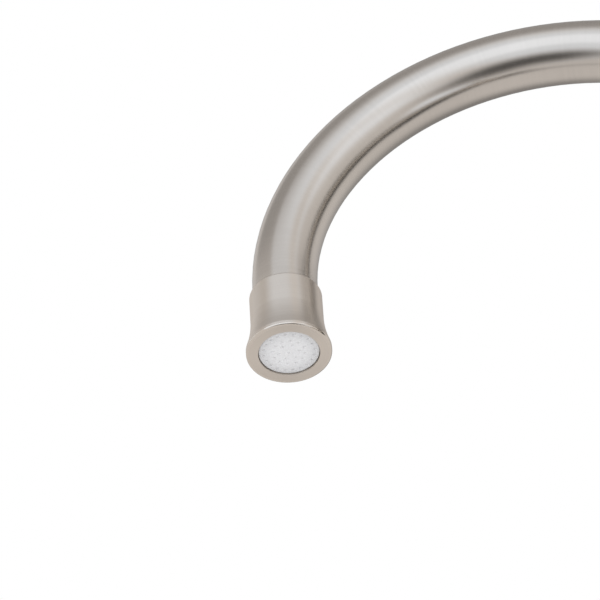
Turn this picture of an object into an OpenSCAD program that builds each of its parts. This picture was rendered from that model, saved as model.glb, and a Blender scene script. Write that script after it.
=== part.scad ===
// Instant hot water faucet: a gooseneck spout that swivels on a turned column with one side lever.
// The origin is on the column's axis at the deck, +Z is up, the spout points to -Y, the lever is on +X.

/* [Spout] */
// Outside diameter of the spout tube
tube_d = 19; // [18:0.5:22]
// Wall of the spout tube
tube_wall = 1; // [0.8:0.1:1.4]
// Radius of the bend, to the tube's centre line
bend_r = 82; // [60:1:100]
// Height above the deck at which the bend starts
bend_start_h = 195; // [150:1:240]
// Straight drop of bare tube between the bend and the outlet housing
spout_drop = 3; // [1:0.5:20]

/* [Outlet housing] */
// Length of the housing, from its top edge to the face of its rim
outlet_l = 22.5; // [21:0.5:28]
// Wall of the housing around the tube
neck_wall = 1; // [0.8:0.1:2]
// Rounding of the housing's top edge
neck_edge = 0.7; // [0.2:0.1:0.7]
// Distance from the top edge at which the flare starts
flare_start = 10.4; // [9.6:0.1:11.4]
// Radius of the hollow curve of the flare
flare_r = 40; // [36:1:60]
// Angle at which the flare leaves the neck
flare_lead = 1.5; // [1:0.1:3]
// How far the rim stands out from the neck
rim_flare = 1.75; // [1.2:0.05:1.8]
// Rounding of the rim's lower edge
rim_edge = 0.5; // [0.2:0.1:0.8]
// Depth of the tube in the housing
tube_seat = 8; // [5:0.5:8.5]
// Thickness of the shoulder on which the tube's end and the gasket seat
shoulder_t = 1.2; // [0.8:0.1:1.5]
// Wall between the neck's outside and the cartridge's bore
outlet_wall = 1.68; // [1.2:0.02:2.2]

/* [Flow cartridge and spray insert] */
// Thickness of the outlet gasket
gasket_t = 1.5; // [1:0.1:1.8]
// Wall of the cartridge
cartridge_wall = 0.8; // [0.6:0.1:1]
// Thickness of the cartridge's inlet lip
cartridge_lip_t = 0.8; // [0.5:0.1:1]
// Thickness of the inlet screen
screen_t = 0.4; // [0.3:0.1:0.6]
// Height of the flow straightener
straightener_h = 3.6; // [2:0.2:4]
// Thickness of the straightener's vanes
vane_t = 0.8; // [0.6:0.1:1]
// How far the insert's face lies inside the rim
insert_recess = 0.45; // [0.2:0.05:1]
// Thickness of the insert's face plate
insert_t = 1.4; // [1:0.1:1.8]
// Rounding of the insert's face
insert_edge = 0.45; // [0.2:0.05:0.6]
// Height of the insert's inner ring
insert_ring_h = 3; // [1:0.1:4]
// Wall of the insert's inner ring
insert_ring_wall = 0.8; // [0.6:0.1:1]
// Diameter of the spray holes
spray_hole_d = 0.9; // [0.7:0.1:1.2]
// Radius of the inner circle of spray holes
inner_circle_r = 2.9; // [2.4:0.1:3]
// Turn of the inner circle of spray holes
inner_circle_turn = 30; // [0:1:60]
// Radius of the outer circle of spray holes
outer_circle_r = 4.65; // [4.4:0.05:5]
// Turn of the outer circle of spray holes
outer_circle_turn = 15; // [0:1:30]
// Number of slots around the edge of the insert
slot_count = 20; // [12:1:24]

/* [Column] */
// Diameter of the column
column_d = 31; // [30:0.5:36]
// Height of the column's shoulder above the deck
column_h = 70; // [63:1:100]
// Height of the threaded neck above the shoulder
neck_h = 8; // [6:0.5:12]
// Wall of the spout nut around the neck
nut_wall = 1.85; // [1.5:0.05:2.2]
// Thickness of the spout nut's lip
nut_lip_t = 3.4; // [2:0.1:5]
// Wall of the ferrule around the tube
ferrule_wall = 1.5; // [1.3:0.1:1.8]
// Wall between the valve's chamber and the floor of the spout's socket
socket_wall = 4.5; // [3:0.1:6]
// Thickness of the ferrule's flange
ferrule_flange_t = 2.5; // [1.5:0.1:4]
// Distance from the upper O-ring's groove to the tube's end
ferrule_floor = 3.5; // [1.5:0.1:8]
// Thickness of each glide ring
glide_t = 1; // [0.6:0.1:1.5]
// Depth of the grooves for the spout's O-rings
spout_groove = 1.5; // [1.2:0.1:1.7]

/* [Base and deck] */
// Diameter of the base flange
flange_d = 54; // [48:1:64]
// Height of the flange's collar above the deck
flange_h = 20; // [16:0.5:22]
// Wall of the flange's collar
flange_wall = 1.6; // [1.2:0.1:2]
// Radius of the hollow curve of the flange
flange_curve_r = 18; // [14:1:22]
// Height of the flange's underside above the deck
seal_proud = 0.8; // [0.4:0.1:1.2]
// Thickness of the flange's floor
flange_floor = 3.2; // [2.6:0.1:4]
// Thickness of the base seal
seal_t = 2.2; // [1.6:0.1:2.6]
// Width of the base seal
seal_w = 6; // [4:0.5:6]
// Thickness of the deck that the faucet is clamped to
deck_t = 30; // [10:1:40]
// Outside diameter of the mounting shank
shank_d = 26; // [25:0.5:27]
// Wall of the mounting shank
shank_wall = 2.5; // [2:0.1:2.6]
// Length of the shank below the deck
shank_drop = 58; // [56:1:80]
// Depth of the shank in the column
shank_seat = 10; // [8:0.5:11]
// Thickness of the clamp gasket and of the clamp washer
clamp_t = 2; // [1.5:0.1:3]
// Outside diameter of the clamp gasket
clamp_d = 44; // [40:1:50]
// Width of the mounting nut across its flats
nut_flats = 36; // [34:1:40]
// Height of the mounting nut
nut_h = 10; // [7:0.5:12]

/* [Supply tubes] */
// Outside diameter of the two small tubes
supply_d = 6.35; // [5:0.05:6.4]
// Outside diameter of the hot return tube
return_d = 9.5; // [8:0.1:9.6]
// Wall of the three tubes
supply_wall = 0.8; // [0.6:0.1:1]
// Length of the tubes below the deck
supply_drop = 95; // [90:1:200]
// Length of plain tube below the bead
supply_end = 25; // [15:1:28]
// Depth of the tubes in the column
supply_seat = 10; // [6:0.5:11]
// Distance of the hot return tube behind the column's axis, away from the lever
return_x = 5.2; // [5:0.1:5.4]
// Distance of the small tubes from the column's axis, towards the lever
supply_x = 3.4; // [3.2:0.1:3.6]
// Distance of each small tube from the middle plane
supply_y = 4.9; // [4.7:0.1:5]

/* [Valve] */
// Height of the valve's axis above the deck
valve_h = 40; // [39.5:0.1:40.5]
// Diameter of the valve cartridge
valve_d = 20; // [19:0.1:20.4]
// Distance of the valve chamber's floor from the column's axis
chamber_x = 7.2; // [7:0.1:8]
// Diameter of the side boss
boss_d = 29; // [28.6:0.1:29.4]
// Thickness of the rubber seal under the discs
valve_seal_t = 1.5; // [1:0.1:2]
// Thickness of each ceramic disc
disc_t = 3; // [2.5:0.1:3.5]
// Diameter of the ports through the valve
port_d = 4; // [3:0.1:4.2]
// Thickness of the stem's driving head
head_t = 2.9; // [2:0.1:4]
// Diameter of the valve stem
stem_d = 8; // [7:0.1:8.2]
// Thickness of the cartridge's front wall
front_wall_t = 5.2; // [5:0.1:7]
// Thickness of the cartridge's flange
valve_flange_t = 3; // [2:0.1:4]
// Depth of the bonnet nut's thread in the boss
bonnet_l = 5; // [4:0.1:7]
// Height of the bonnet nut's hexagon
bonnet_hex_h = 3; // [2:0.1:3.2]
// Width of the bonnet nut across its flats
bonnet_flats = 18; // [16:0.5:18.5]

/* [Handle] */
// Length of the handle hub along the valve's axis
hub_l = 20; // [19:0.5:26]
// Diameter of the hub's neck
hub_neck_d = 22; // [20:0.5:23]
// Length of the hub's neck
hub_neck_l = 11; // [10.6:0.1:12]
// Radius of the hollow curve of the hub
hub_curve_r = 9; // [6:0.5:12]
// Rounding of the hub's end
hub_edge = 1.4; // [0.6:0.1:2]
// Length of the lever above the hub
lever_l = 56; // [40:1:80]
// Diameter of the lever where it is thinnest
lever_waist_d = 6.6; // [6:0.1:7.6]
// Diameter of the lever's foot in the hub
lever_foot_d = 8; // [7.8:0.1:8.6]
// Diameter of the lever's tip
lever_tip_d = 10.4; // [9:0.1:12]
// Diameter of the set screw
screw_d = 4; // [3:0.5:5]
// Diameter of the index button
button_d = 7; // [5:0.5:9]

/* [Fits] */
// Clearance around pieces that are brazed, screwed or pressed together
seat_gap = 0.05; // [0.02:0.01:0.1]
// Radial clearance of the pieces that turn in each other
running_gap = 0.05; // [0.02:0.01:0.09]
// Clearance between a moving piece and a fixed one that it passes
moving_gap = 0.3; // [0.2:0.05:0.5]
// Clearance of loose inner pieces that are slid into place
slip_gap = 0.1; // [0.05:0.01:0.15]
// Clearance around the shank in the base flange, the clamp gasket and the clamp washer
shank_gap = 0.4; // [0.2:0.05:0.6]

/* [Hidden] */
$fn = 96;
long_curve_fn = 256;  // for the circles of the long hollow curves
over = 1;  // how far a cut runs past the face it starts from
ring_gap = 0.02;  // between an O-ring and the bore that it seals
end_gap = 0.2;  // at the blind end of a bore

// Outlet, measured down from the housing's top edge
tube_r = tube_d / 2;
tube_bore_r = tube_r - tube_wall;
neck_r = tube_r + seat_gap + neck_wall;
rim_r = neck_r + rim_flare;
outlet_bore_r = neck_r - outlet_wall;
shoulder_lip = 0.3;
shoulder_bore_r = tube_bore_r - shoulder_lip;
cartridge_r = outlet_bore_r - slip_gap;
cartridge_bore_r = cartridge_r - cartridge_wall;
cartridge_lip = 1.2;
gasket_lip = 1.5;
screen_pitch = 1.8;
screen_hole_d = 1;
insert_plate_top = outlet_l - insert_recess - insert_t;
gasket_top = tube_seat + shoulder_t;
cartridge_top = gasket_top + gasket_t;
screen_top = cartridge_top + cartridge_lip_t;
straightener_top = screen_top + screen_t;
hole_margin = 0.6;
insert_ring_r = outer_circle_r + spray_hole_d / 2 + insert_ring_wall + hole_margin;
slot_circle_r = (insert_ring_r + cartridge_bore_r) / 2;
slot_margin = 0.1;
slot_w = cartridge_bore_r - insert_ring_r - 2 * slot_margin;

// Spout
outlet_top_h = bend_start_h - spout_drop;
outlet_y = -2 * bend_r;

// Column and ferrule
column_r = column_d / 2;
neck_top_h = column_h + neck_h;
column_neck_r = column_r - nut_wall - seat_gap;
ferrule_r = tube_r + ferrule_wall;
socket_r = ferrule_r + running_gap;
flange_low_h = neck_top_h + glide_t + running_gap;
flange_top_h = flange_low_h + ferrule_flange_t;
lip_low_h = flange_top_h + running_gap + glide_t;
nut_top_h = lip_low_h + nut_lip_t;
nut_land = 0.6;
ferrule_flange_gap = 0.4;
ferrule_flange_r = column_neck_r - ferrule_flange_gap;
socket_floor_h = valve_h + valve_d / 2 + seat_gap + socket_wall;
socket_play = 0.5;
ferrule_foot_h = socket_floor_h + socket_play;
ferrule_stop = 0.6;
ferrule_bore_r = tube_bore_r - ferrule_stop;
groove_w = 2;
groove_r = ferrule_r - spout_groove;
ring_r = (socket_r - ring_gap - groove_r) / 2;
groove_foot = 3;
groove_step = 4;
groove_hs = [ferrule_foot_h + groove_foot, ferrule_foot_h + groove_foot + groove_step];
tube_foot_h = groove_hs[1] + groove_w / 2 + ferrule_floor;

// Base
flange_low = seal_proud;
column_low_h = flange_low + flange_floor;
collar_l = 2;
collar_edge = 0.5;
foot_edge = 0.4;
shank_r = shank_d / 2;
shank_bore_r = shank_r - shank_wall;
seal_margin = 2;
seal_outer_r = flange_d / 2 - seal_margin;
washer_inset = 1;
gasket_low_h = -deck_t - clamp_t;
washer_low_h = gasket_low_h - clamp_t;
nut_low_h = washer_low_h - nut_h;
shank_top_h = column_low_h + shank_seat;
supply_top_h = shank_top_h + supply_seat;

// Valve, measured along +X from the column's axis
valve_r = valve_d / 2;
seal_x = chamber_x + valve_seal_t;
disc_x = seal_x + disc_t;
moving_x = disc_x + running_gap;
head_x = moving_x + disc_t;
pocket_x = head_x + head_t + running_gap;
front_x = pocket_x + front_wall_t;
boss_step_x = front_x + valve_flange_t;
boss_end_x = boss_step_x + bonnet_l;
bonnet_end_x = boss_end_x + bonnet_hex_h;
boss_r = boss_d / 2;
boss_wall = 2.2;
thread_r = boss_r - boss_wall;
thread_step = 0.7;
valve_flange_r = thread_r - thread_step;
valve_wall = 1.3;
pocket_r = valve_r - valve_wall;
disc_r = pocket_r - slip_gap;
moving_r = pocket_r - moving_gap;
head_inset = 0.6;
head_r = moving_r - head_inset;
stem_r = stem_d / 2;
tang_l = 1.2;
tang_w = 3.9;
channel_depth = 1;
stem_flat = 0.4;
stem_groove_depth = 1.1;
stem_groove_r = stem_r - stem_groove_depth;
stem_groove_w = 1.7;
seal_groove_depth = 1.2;
seal_groove_r = valve_r - seal_groove_depth;
seal_groove_w = 1.9;
groove_x = pocket_x + front_wall_t / 2;

// Handle
hub_x = boss_end_x + moving_gap;
hub_end_x = hub_x + hub_l;
hub_neck_r = hub_neck_d / 2;
hub_neck_x = hub_end_x - hub_neck_l;
hub_cap_x = bonnet_end_x + moving_gap;
hub_cap_r = bonnet_flats / 2 / cos(30) + moving_gap;
button_seat = 1.5;
button_proud = 0.4;
button_edge = 0.3;
button_seat_x = hub_end_x - button_seat;
stem_setback = 2;
stem_end_x = button_seat_x - stem_setback;
flat_setback = 1;
lever_x = (hub_neck_x + hub_end_x - hub_edge) / 2;
lever_foot_r = lever_foot_d / 2;
lever_thread_r = 3;
lever_foot_l = 3;
lever_floor = 1.2;
waist_part = 0.4;
tip_edge = 1.6;
hub_lip = 0.4;
lever_foot_h = valve_h + hub_neck_r - lever_foot_l;
lever_thread_h = valve_h + stem_r + lever_floor;
lever_low_h = valve_h + hub_neck_r;
lever_top_h = lever_low_h + lever_l;
screw_recess = 1.2;
screw_top_h = valve_h - stem_r + stem_flat;
screw_low_h = valve_h - hub_neck_r + screw_recess;

// Finishes
NICKEL = "#b8afa4";
BRASS = "#c8a662";
COPPER = "#b87445";
STEEL = "#a9abae";
RUBBER = "#2b2b2c";
CLEAR_WHITE = "#e4e4e2";
WHITE = "#f2f1ec";
CERAMIC = "#f4efe4";
RED = "#c23a2d";

// Half of a flat rectangle from r0 to r1 and from h0 to h1, for turning
module band(r0, r1, h0, h1) {
    translate([r0, h0]) square([r1 - r0, h1 - h0]);
}

// The same, with its outer corner at h1 rounded
module round_band(r0, r1, h0, h1, edge) {
    union() {
        band(r0, r1 - edge, min(h0, h1), max(h0, h1));
        band(r0, r1, min(h0, h1 - sign(h1 - h0) * edge), max(h0, h1 - sign(h1 - h0) * edge));
        translate([r1 - edge, h1 - sign(h1 - h0) * edge]) circle(r = edge);
    }
}

// A circle that leaves radius r at height h with the lead angle, and swings out below it
module hollow(r, h, curve_r) {
    translate([r + curve_r * cos(flare_lead), h + curve_r * sin(flare_lead)])
        circle(r = curve_r, $fn = long_curve_fn);
}

// A flat ring
module ring(r0, r1, h0, h1) {
    rotate_extrude() band(r0, r1, h0, h1);
}

// An O-ring whose middle circle has radius r
module o_ring(r, section_r) {
    rotate_extrude() translate([r, 0]) circle(r = section_r);
}

// Moves a piece drawn along +Z onto the valve's axis, so that its Z becomes +X
module on_valve_axis() {
    translate([0, 0, valve_h]) rotate([0, 90, 0]) children();
}

// Moves a piece drawn downwards from z = 0 to the outlet's place
module on_outlet() {
    translate([0, outlet_y, outlet_top_h]) children();
}

// Spout

module spout_tube() {
    color(NICKEL) union() {
        ring(tube_bore_r, tube_r, tube_foot_h, bend_start_h);
        translate([0, -bend_r, bend_start_h]) rotate([90, 0, 90]) rotate_extrude(angle = 180)
            translate([bend_r, 0]) difference() {
                circle(r = tube_r);
                circle(r = tube_bore_r);
            }
        translate([0, outlet_y, 0]) ring(tube_bore_r, tube_r, outlet_top_h - tube_seat, bend_start_h);
    }
}

module spout_ferrule() {
    color(BRASS) rotate_extrude() difference() {
        union() {
            band(ferrule_bore_r, ferrule_r, ferrule_foot_h, flange_top_h);
            band(ferrule_bore_r, ferrule_flange_r, flange_low_h, flange_top_h);
        }
        band(0, tube_r + seat_gap, tube_foot_h, flange_top_h + over);
        for (h = groove_hs) band(groove_r, ferrule_r + over, h - groove_w / 2, h + groove_w / 2);
    }
}

module spout_o_rings() {
    color(RUBBER) for (h = groove_hs) translate([0, 0, h]) o_ring(groove_r + ring_r, ring_r);
}

module outlet_housing() {
    color(NICKEL) on_outlet() rotate_extrude() difference() {
        union() {
            round_band(0, neck_r, -flare_start - over, 0, neck_edge);
            difference() {
                round_band(0, rim_r, -flare_start, -outlet_l, rim_edge);
                hollow(neck_r, -flare_start, flare_r);
            }
        }
        band(0, tube_r + seat_gap, -tube_seat, over);
        band(0, shoulder_bore_r, -gasket_top - over, 0);
        band(0, outlet_bore_r, -outlet_l - over, -gasket_top);
    }
}

module outlet_gasket() {
    color(RUBBER) on_outlet() ring(cartridge_bore_r - gasket_lip, cartridge_r, -cartridge_top, -gasket_top);
}

module flow_cartridge() {
    color(WHITE) on_outlet() rotate_extrude() difference() {
        band(cartridge_bore_r - cartridge_lip, cartridge_r, -insert_plate_top, -cartridge_top);
        band(0, cartridge_bore_r, -insert_plate_top - over, -screen_top);
    }
}

// A thin disc with three rings of fine holes
module inlet_screen() {
    color(STEEL) on_outlet() difference() {
        ring(0, cartridge_bore_r - slip_gap, -straightener_top, -screen_top);
        for (k = [1 : 3]) for (i = [1 : 6 * k]) rotate(i * 60 / k)
            translate([k * screen_pitch, 0, -straightener_top - over])
                cylinder(d = screen_hole_d, h = screen_t + 2 * over);
    }
}

// A ring with crossed vanes that calms the stream
module flow_straightener() {
    ring_in = cartridge_bore_r - slip_gap - vane_t;
    low = -straightener_top - straightener_h;
    color(WHITE) on_outlet() union() {
        ring(ring_in, cartridge_bore_r - slip_gap, low, -straightener_top);
        for (a = [0 : 60 : 120]) rotate(a)
            translate([-ring_in - vane_t / 4, -vane_t / 2, low])
                cube([2 * ring_in + vane_t / 2, vane_t, straightener_h]);
    }
}

// The face plate has a middle hole, two circles of holes and a circle of slots around its edge
module spray_insert() {
    plate_low = -outlet_l + insert_recess;
    cut_h = insert_t + 2 * over;
    color(CLEAR_WHITE) on_outlet() difference() {
        union() {
            rotate_extrude() round_band(0, cartridge_r, -insert_plate_top, plate_low, insert_edge);
            ring(insert_ring_r - insert_ring_wall, insert_ring_r, -insert_plate_top - over / 2,
                insert_ring_h - insert_plate_top);
        }
        translate([0, 0, plate_low - over]) {
            cylinder(d = spray_hole_d, h = cut_h);
            for (i = [0 : 5]) rotate(inner_circle_turn + i * 60) translate([inner_circle_r, 0, 0])
                cylinder(d = spray_hole_d, h = cut_h);
            for (i = [0 : 11]) rotate(outer_circle_turn + i * 30) translate([outer_circle_r, 0, 0])
                cylinder(d = spray_hole_d, h = cut_h);
            for (i = [1 : slot_count]) rotate(i * 360 / slot_count) translate([slot_circle_r, 0, 0])
                cylinder(d = slot_w, h = cut_h);
        }
    }
}

// Column

// Upright bores in line with the two small tubes
module small_bores(r, h0, h1) {
    for (s = [-1, 1]) translate([supply_x, s * supply_y, h0]) cylinder(r = r, h = h1 - h0);
}

// An upright bore in line with the hot return tube
module return_bore(r, h0, h1) {
    translate([-return_x, 0, h0]) cylinder(r = r, h = h1 - h0);
}

// The column with its side boss, the spout's socket, the valve's chamber and the water ways between them
module faucet_body() {
    color(NICKEL) difference() {
        union() {
            ring(0, column_r, column_low_h, column_h);
            ring(0, column_neck_r, column_low_h, neck_top_h);
            on_valve_axis() cylinder(r = boss_r, h = boss_end_x);
        }
        ring(0, socket_r, socket_floor_h, neck_top_h + over);
        ring(0, shank_r + seat_gap, column_low_h - over, shank_top_h);
        small_bores(supply_d / 2 + seat_gap, shank_top_h - over, supply_top_h);
        small_bores(supply_d / 2 - supply_wall, supply_top_h - over, valve_h + port_d / 2);
        return_bore(return_d / 2 + seat_gap, shank_top_h - over, supply_top_h);
        return_bore(return_d / 2 - supply_wall, supply_top_h - over, socket_floor_h + over);
        for (s = [-1, 1]) translate([0, s * supply_y, 0]) on_valve_axis()
            translate([0, 0, supply_x]) cylinder(d = port_d, h = chamber_x - supply_x + over);
        on_valve_axis() {
            translate([0, 0, chamber_x]) cylinder(r = valve_r + seat_gap, h = boss_end_x);
            translate([0, 0, front_x]) cylinder(r = valve_flange_r + seat_gap, h = boss_end_x);
            translate([0, 0, boss_step_x]) cylinder(r = thread_r + seat_gap, h = boss_end_x);
        }
    }
}

module spout_nut() {
    color(NICKEL) rotate_extrude() difference() {
        round_band(0, column_r, column_h + seat_gap, nut_top_h, nut_lip_t - nut_land);
        band(0, column_neck_r + seat_gap, column_h - over, lip_low_h);
        band(0, tube_r + moving_gap, column_h, nut_top_h + over);
    }
}

module glide_rings() {
    color(WHITE) {
        ring(socket_r + slip_gap, column_neck_r - slip_gap, neck_top_h, neck_top_h + glide_t);
        ring(tube_r + moving_gap, column_neck_r - slip_gap, lip_low_h - glide_t, lip_low_h);
    }
}

// A foot with a hollow curve up to a thin collar around the column
module base_flange() {
    foot_r = flange_d / 2;
    collar_r = column_r + seat_gap + flange_wall;
    color(NICKEL) rotate_extrude() difference() {
        union() {
            round_band(0, collar_r, flange_low, flange_h, collar_edge);
            difference() {
                round_band(0, foot_r, flange_h - collar_l, flange_low, foot_edge);
                hollow(collar_r, flange_h - collar_l, flange_curve_r);
            }
        }
        band(0, shank_r + shank_gap, flange_low - over, column_low_h);
        band(0, column_r + seat_gap, column_low_h, flange_h + over);
        band(seal_outer_r - seal_w - slip_gap, seal_outer_r + slip_gap, flange_low - over, seal_t);
    }
}

module base_seal() {
    color(RUBBER) ring(seal_outer_r - seal_w, seal_outer_r, 0, seal_t);
}

module mounting_shank() {
    color(BRASS) ring(shank_bore_r, shank_r, -shank_drop, shank_top_h);
}

module clamp_gasket() {
    color(RUBBER) ring(shank_r + shank_gap, clamp_d / 2, gasket_low_h, -deck_t);
}

module clamp_washer() {
    color(STEEL) ring(shank_r + shank_gap, clamp_d / 2 - washer_inset, washer_low_h, gasket_low_h);
}

// A hexagon nut whose corners are turned down towards its lower face
module mounting_nut() {
    corner_r = nut_flats / 2 / cos(30);
    bevel = corner_r - nut_flats / 2;
    color(BRASS) difference() {
        intersection() {
            translate([0, 0, nut_low_h]) cylinder(r = corner_r, h = nut_h, $fn = 6);
            union() {
                translate([0, 0, nut_low_h]) cylinder(r1 = corner_r - bevel, r2 = corner_r, h = bevel);
                ring(0, corner_r, nut_low_h + bevel, washer_low_h);
            }
        }
        ring(0, shank_r + seat_gap, nut_low_h - over, washer_low_h + over);
    }
}

// A straight tube end with a rolled bead, which stops the hose or fitting that is pushed on
module supply_tube(d) {
    bead_r = 0.9;
    bore_r = d / 2 - supply_wall;
    rotate_extrude() difference() {
        union() {
            band(bore_r, d / 2, -supply_drop, supply_top_h);
            translate([d / 2, supply_end - supply_drop]) circle(r = bead_r);
        }
        band(0, bore_r, -supply_drop, supply_top_h);
    }
}

module cold_inlet_tube() {
    color(COPPER) translate([supply_x, -supply_y, 0]) supply_tube(supply_d);
}

module tank_feed_tube() {
    color(COPPER) translate([supply_x, supply_y, 0]) supply_tube(supply_d);
}

module hot_return_tube() {
    color(COPPER) translate([-return_x, 0, 0]) supply_tube(return_d);
}

// Valve

// Two ports, one above each small tube's water way
module ports(x0, x1) {
    for (s = [-1, 1]) translate([0, s * supply_y, 0]) on_valve_axis()
        translate([0, 0, x0 - over]) cylinder(d = port_d, h = x1 - x0 + 2 * over);
}

module valve_seal() {
    color(RUBBER) difference() {
        on_valve_axis() translate([0, 0, chamber_x]) cylinder(r = valve_r - slip_gap, h = valve_seal_t);
        ports(chamber_x, seal_x);
    }
}

module fixed_disc() {
    color(CERAMIC) difference() {
        on_valve_axis() translate([0, 0, seal_x]) cylinder(r = disc_r, h = disc_t);
        ports(seal_x, disc_x);
    }
}

// The channel in this disc joins the two ports when the lever is down
module moving_disc() {
    color(CERAMIC) on_valve_axis() difference() {
        translate([0, 0, moving_x]) cylinder(r = moving_r, h = disc_t);
        translate([-supply_y - port_d / 2, -port_d / 2, moving_x - over])
            cube([2 * supply_y + port_d, port_d, over + channel_depth]);
        translate([-tang_w / 2 - seat_gap, -moving_r - over, head_x - tang_l])
            cube([tang_w + 2 * seat_gap, 2 * moving_r + 2 * over, tang_l + over]);
    }
}

module valve_stem() {
    color(BRASS) on_valve_axis() difference() {
        union() {
            translate([0, 0, head_x]) cylinder(r = head_r, h = head_t);
            translate([0, 0, head_x]) cylinder(r = stem_r, h = stem_end_x - head_x);
            intersection() {
                translate([0, 0, head_x - tang_l]) cylinder(r = head_r, h = tang_l + over);
                translate([-tang_w / 2, -head_r, head_x - tang_l])
                    cube([tang_w, 2 * head_r, tang_l + over]);
            }
        }
        rotate_extrude() band(stem_groove_r, stem_r + over, groove_x - stem_groove_w / 2,
            groove_x + stem_groove_w / 2);
        translate([stem_r - stem_flat, -stem_r, hub_cap_x + flat_setback])
            cube([stem_r, 2 * stem_r, stem_end_x]);
    }
}

module stem_o_ring() {
    section_r = (stem_r + running_gap - ring_gap - stem_groove_r) / 2;
    color(RUBBER) on_valve_axis() translate([0, 0, groove_x])
        o_ring(stem_groove_r + section_r, section_r);
}

module valve_cartridge() {
    color(BRASS) on_valve_axis() rotate_extrude() difference() {
        union() {
            band(0, valve_r, seal_x, boss_step_x);
            band(0, valve_flange_r, front_x, boss_step_x);
        }
        band(0, pocket_r, seal_x - over, pocket_x);
        band(0, stem_r + running_gap, pocket_x - over, boss_step_x + over);
        band(seal_groove_r, valve_r + over, groove_x - seal_groove_w / 2,
            groove_x + seal_groove_w / 2);
    }
}

module cartridge_o_ring() {
    section_r = (valve_r + seat_gap - ring_gap - seal_groove_r) / 2;
    color(RUBBER) on_valve_axis() translate([0, 0, groove_x])
        o_ring(seal_groove_r + section_r, section_r);
}

module bonnet_nut() {
    color(BRASS) on_valve_axis() difference() {
        union() {
            translate([0, 0, boss_step_x]) cylinder(r = thread_r, h = bonnet_l);
            translate([0, 0, boss_end_x - over])
                cylinder(d = bonnet_flats / cos(30), h = bonnet_hex_h + over, $fn = 6);
        }
        translate([0, 0, boss_step_x - over])
            cylinder(r = stem_r + moving_gap, h = bonnet_l + bonnet_hex_h + 2 * over);
    }
}

// Handle

// A bell that covers the bonnet nut and narrows to the neck that carries the lever
module handle_hub() {
    color(NICKEL) difference() {
        on_valve_axis() rotate_extrude() difference() {
            union() {
                round_band(0, hub_neck_r, hub_x, hub_end_x, hub_edge);
                difference() {
                    round_band(0, boss_r, hub_neck_x, hub_x, hub_lip);
                    hollow(hub_neck_r, hub_neck_x, hub_curve_r);
                }
            }
            band(0, hub_cap_r, hub_x - over, hub_cap_x);
            band(0, stem_r + seat_gap, hub_x, stem_end_x + end_gap);
            band(0, button_d / 2 + seat_gap, button_seat_x, hub_end_x + over);
        }
        translate([lever_x, 0, lever_foot_h]) cylinder(r = lever_foot_r + seat_gap, h = hub_neck_r);
        translate([lever_x, 0, lever_thread_h]) cylinder(r = lever_thread_r + seat_gap, h = hub_neck_r);
        translate([lever_x, 0, valve_h - hub_neck_r - over])
            cylinder(r = screw_d / 2 + seat_gap, h = hub_neck_r);
    }
}

// A slender rod, waisted by one long curve, that screws into the hub
module lever() {
    rise = lever_top_h - lever_low_h;
    waist_h = lever_low_h + rise * waist_part;
    depth = (lever_tip_d - lever_waist_d) / 2;
    curve_r = ((lever_top_h - waist_h) ^ 2 + depth ^ 2) / 2 / depth;
    color(NICKEL) translate([lever_x, 0, 0]) rotate_extrude() union() {
        difference() {
            round_band(0, lever_tip_d / 2, lever_low_h, lever_top_h, tip_edge);
            translate([lever_waist_d / 2 + curve_r, waist_h]) circle(r = curve_r, $fn = long_curve_fn);
        }
        band(0, lever_foot_r, lever_foot_h, lever_low_h + over);
        band(0, lever_thread_r, lever_thread_h + end_gap, lever_foot_h + over);
    }
}

module set_screw() {
    key_h = 1.6;
    color(STEEL) translate([lever_x, 0, screw_low_h]) difference() {
        cylinder(d = screw_d, h = screw_top_h - screw_low_h);
        translate([0, 0, -over]) cylinder(d = screw_d / 2, h = key_h + over, $fn = 6);
    }
}

module index_button() {
    color(RED) on_valve_axis() rotate_extrude()
        round_band(0, button_d / 2, button_seat_x, hub_end_x + button_proud, button_edge);
}

faucet_body();
base_flange();
base_seal();
mounting_shank();
clamp_gasket();
clamp_washer();
mounting_nut();
cold_inlet_tube();
tank_feed_tube();
hot_return_tube();
valve_seal();
fixed_disc();
valve_cartridge();
cartridge_o_ring();
bonnet_nut();
spout_nut();
glide_rings();
moving_disc();
valve_stem();
stem_o_ring();
handle_hub();
lever();
set_screw();
index_button();
spout_ferrule();
spout_o_rings();
spout_tube();
outlet_housing();
outlet_gasket();
flow_cartridge();
inlet_screen();
flow_straightener();
spray_insert();
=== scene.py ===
"""Finishes an instant hot water faucet: brushed nickel, cut threads, a milky insert and a studio.

Lengths are in metres. The column is on the origin, the spout points to -Y, the lever is on +X.
"""

import math

import bmesh
import bpy
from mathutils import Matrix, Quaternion, Vector
from mathutils.geometry import delaunay_2d_cdt


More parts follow.
